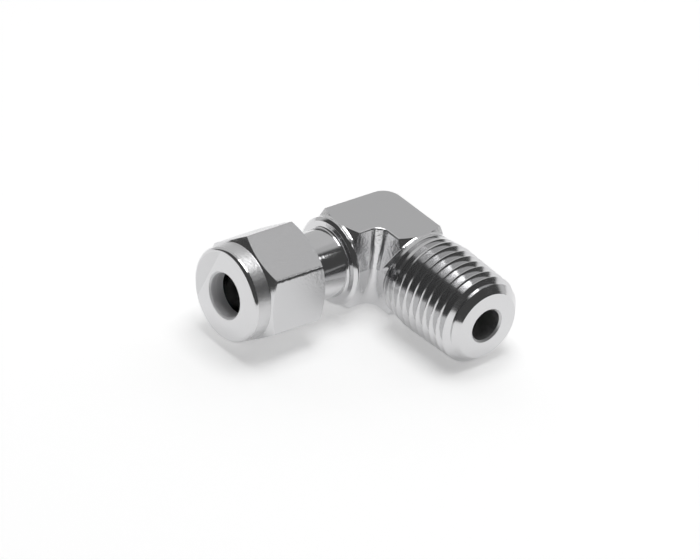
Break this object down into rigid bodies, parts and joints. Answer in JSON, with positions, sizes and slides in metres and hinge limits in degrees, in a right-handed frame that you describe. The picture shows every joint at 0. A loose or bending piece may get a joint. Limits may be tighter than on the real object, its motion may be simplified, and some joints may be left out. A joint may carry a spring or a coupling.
{
  "type": "male elbow tube fitting",
  "caption": "Right-angle stainless steel fitting: a tapered male pipe thread on one leg, a compression tube connection with a hex nut and ferrules on the other.",
  "frame": {"origin": "crossing point of the two legs' axes, on the forging's parting plane", "axes": "+X out of the tube leg through the nut, +Y out of the pipe thread leg, +Z square to both and up out of the flat pad"},
  "size_m": [0.0347, 0.0314, 0.0164],
  "materials": {
    "body_steel": "forged stainless steel, satin flats, bright where turned and threaded",
    "nut_steel": "bright machined stainless steel, turned face and collar, drawn hexagon flats",
    "ferrule_steel": "fine turned stainless steel"
  },
  "bodies": {
    "fitting_body": {"elbow_body": "body_steel"},
    "ferrules": {"front_ferrule": "ferrule_steel", "back_ferrule": "ferrule_steel"},
    "tube_nut": {"nut": "nut_steel"}
  },
  "joints": [
    {"name": "ferrule_slide", "type": "slide", "parent": "fitting_body", "child": "ferrules", "axis": [1, 0, 0], "range_m": [0, 0.00382]},
    {"name": "nut_turn", "type": "hinge", "parent": "ferrules", "child": "tube_nut", "pos_m": [0.02, 0, 0], "axis": [1, 0, 0], "range_deg": [0, 1080]}
  ],
  "couplings": [
    {"joint": "ferrule_slide", "follows": "nut_turn", "m_per_rad": 0.00020213}
  ]
}
